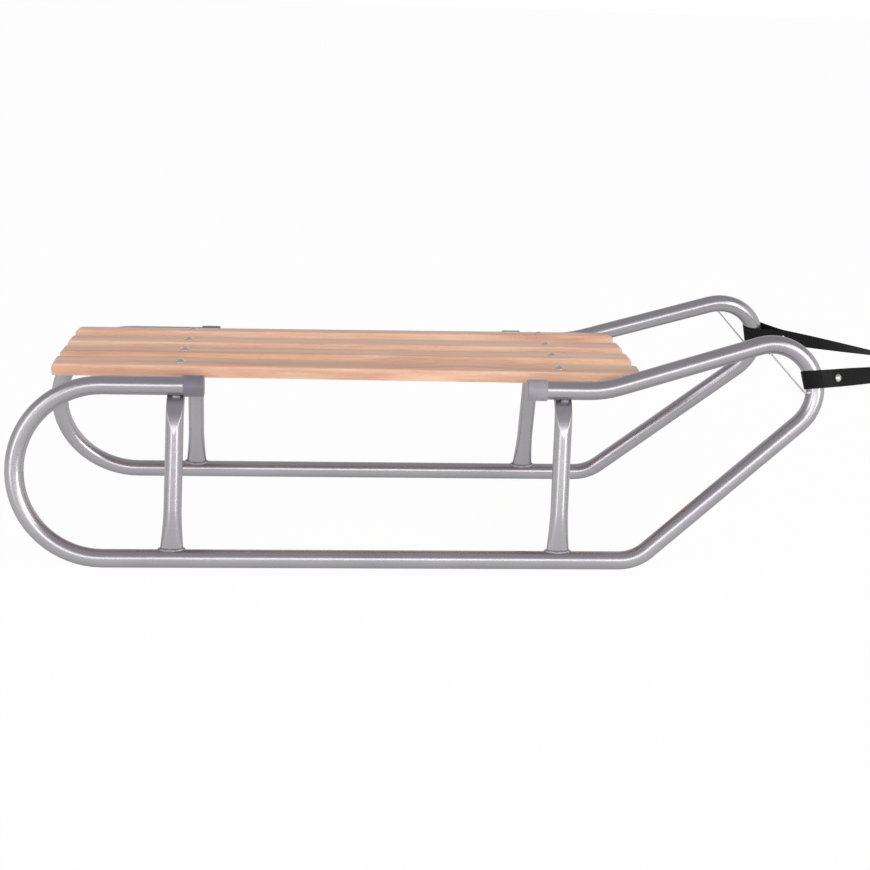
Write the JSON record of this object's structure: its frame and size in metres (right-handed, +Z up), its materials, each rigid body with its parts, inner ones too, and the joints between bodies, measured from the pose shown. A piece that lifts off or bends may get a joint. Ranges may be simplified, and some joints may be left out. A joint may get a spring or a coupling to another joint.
{
  "type": "tubular steel sled",
  "caption": "Snow sled with bent steel tube side frames as runners and handles, tube arches, a slatted wooden seat and a webbing pull strap.",
  "frame": {"origin": "on the floor under the middle of the frame, halfway between the runners", "axes": "+X forward towards the nose and the pull strap, +Y to the left side, +Z up"},
  "size_m": [1.4718, 0.427, 0.3183],
  "materials": {
    "silver_lacquer": "silver-grey lacquer, semi-gloss",
    "bright_steel": "bright zinc plated",
    "grey_plastic": "moulded, satin",
    "beech": "clear lacquered beech",
    "webbing": "woven black webbing"
  },
  "bodies": {
    "root": {"arch_front": "silver_lacquer", "arch_rear": "silver_lacquer", "end_cap_front_left": "grey_plastic", "end_cap_front_right": "grey_plastic", "end_cap_rear_left": "grey_plastic", "end_cap_rear_right": "grey_plastic", "keeper_wire_left": "bright_steel", "keeper_wire_right": "bright_steel", "pull_strap": "webbing", "side_frame_left": "silver_lacquer", "side_frame_right": "silver_lacquer", "slat_inner_left": "beech", "slat_inner_right": "beech", "slat_outer_left": "beech", "slat_outer_right": "beech"}
  },
  "joints": []
}
